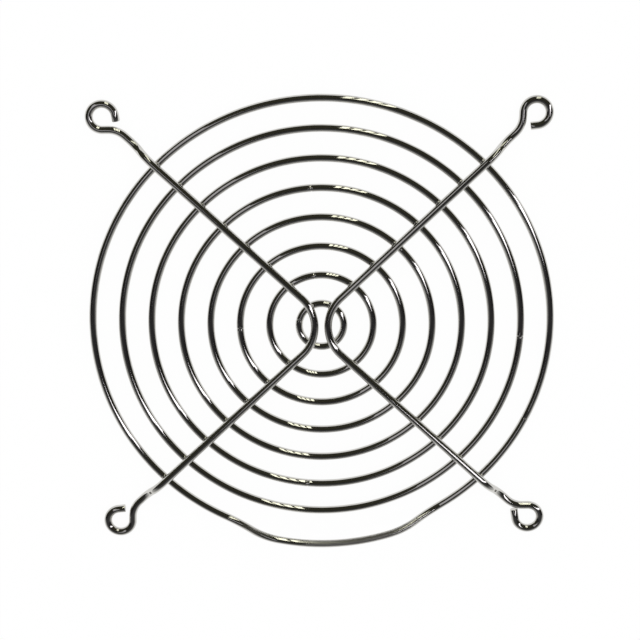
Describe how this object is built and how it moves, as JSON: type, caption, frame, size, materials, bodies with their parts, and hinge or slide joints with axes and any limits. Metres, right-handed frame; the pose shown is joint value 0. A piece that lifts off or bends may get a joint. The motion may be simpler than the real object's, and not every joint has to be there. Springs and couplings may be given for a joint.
{
  "type": "wire fan guard",
  "caption": "Round wire finger guard for a square axial fan: concentric rings welded behind two bent struts whose stepped ends close into screw eyes.",
  "frame": {"origin": "middle of the square of fixing holes, on the plane that the four eyes rest on", "axes": "+Z away from the fan, out of the guard's front; +X and +Y along the sides of the square of fixing holes, with the raised arc of the outer ring at -Y"},
  "size_m": [0.1156, 0.1156, 0.0082],
  "materials": {
    "plated_ring_wire": "gloss",
    "plated_strut_wire": "gloss"
  },
  "bodies": {
    "root": {"ring_1": "plated_ring_wire", "ring_2": "plated_ring_wire", "ring_3": "plated_ring_wire", "ring_4": "plated_ring_wire", "ring_5": "plated_ring_wire", "ring_6": "plated_ring_wire", "ring_7": "plated_ring_wire", "outer_ring": "plated_ring_wire", "left_strut": "plated_strut_wire", "right_strut": "plated_strut_wire"}
  },
  "joints": []
}
